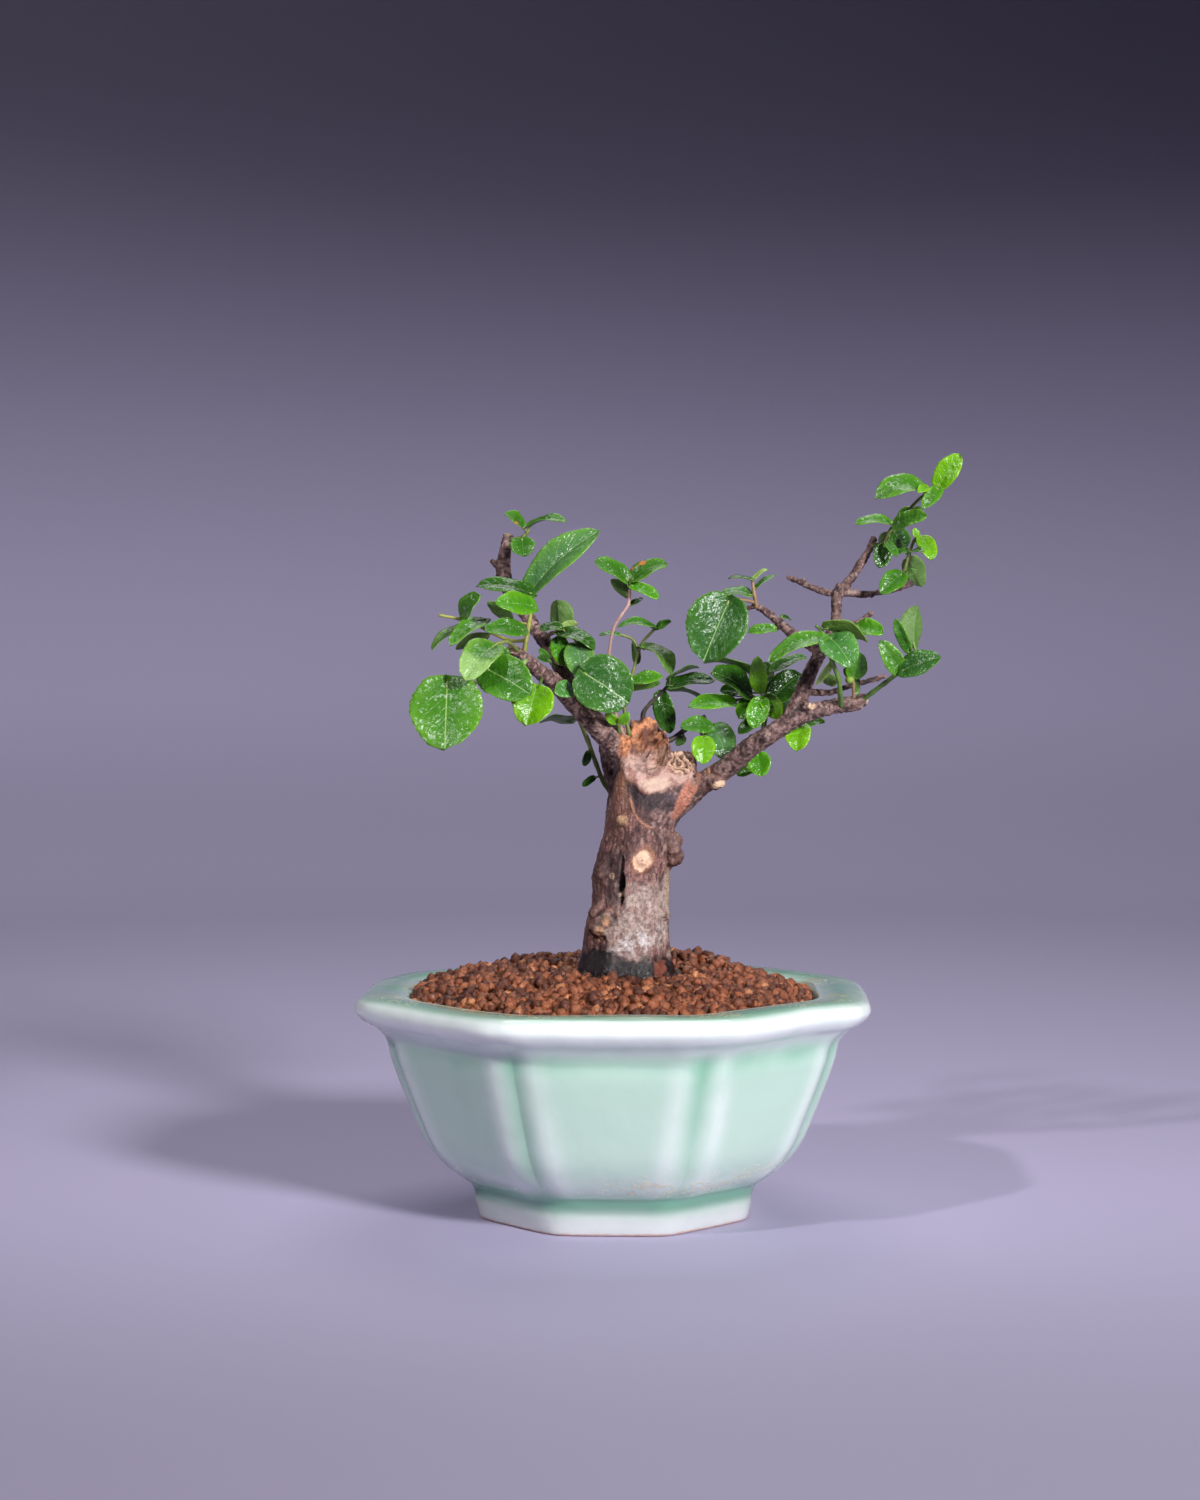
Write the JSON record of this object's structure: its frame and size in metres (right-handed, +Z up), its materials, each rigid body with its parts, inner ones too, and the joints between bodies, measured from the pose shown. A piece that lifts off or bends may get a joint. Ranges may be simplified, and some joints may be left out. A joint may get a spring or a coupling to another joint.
{
  "type": "potted bonsai tree",
  "caption": "Small sweet plum bonsai with a sawn trunk, bare limbs and leafy shoots, rooted in clay grains in a glazed octagonal pot.",
  "frame": {"origin": "middle of the whole object's footprint, on the plane that the pot's foot stands on", "axes": "+Z up along the trunk, -Y towards the viewer of the pot's front panel, +X towards the longer limb"},
  "size_m": [0.1774, 0.1516, 0.2249],
  "materials": {
    "celadon_glaze": "gloss",
    "screen_plastic": "matte",
    "baked_clay": "granular, matte",
    "bark": "rough",
    "leaf_green": "glossy leaf",
    "leaf_dark": "glossy leaf",
    "leaf_lime": "glossy leaf"
  },
  "bodies": {
    "root": {"pot": "celadon_glaze", "drain_screen": "screen_plastic", "soil": "baked_clay", "trunk": "bark", "leaves_left_crown": "leaf_green", "leaves_left_centre": "leaf_green", "leaves_left_outer": "leaf_green", "leaves_left_tip": "leaf_green", "leaves_left_lime": "leaf_lime", "leaves_left_button": "leaf_green", "leaves_left_broad": "leaf_dark", "leaves_left_small": "leaf_lime", "leaves_left_back": "leaf_green", "leaves_left_fork": "leaf_green", "leaves_left_low": "leaf_dark", "leaves_stump_tall": "leaf_green", "leaves_stump_left": "leaf_green", "leaves_stump_back": "leaf_dark", "leaves_stump_right": "leaf_lime", "leaves_middle": "leaf_green", "leaves_under_left": "leaf_green", "leaves_under_right": "leaf_lime", "leaves_twig_left": "leaf_green", "leaf_twig_middle": "leaf_lime", "leaf_twig_upper": "leaf_green", "leaves_right_front": "leaf_green", "leaves_right_berry": "leaf_green", "leaf_right_lime": "leaf_lime", "leaves_right_end": "leaf_green", "leaves_top_east": "leaf_green", "leaves_top": "leaf_green"}
  },
  "joints": []
}
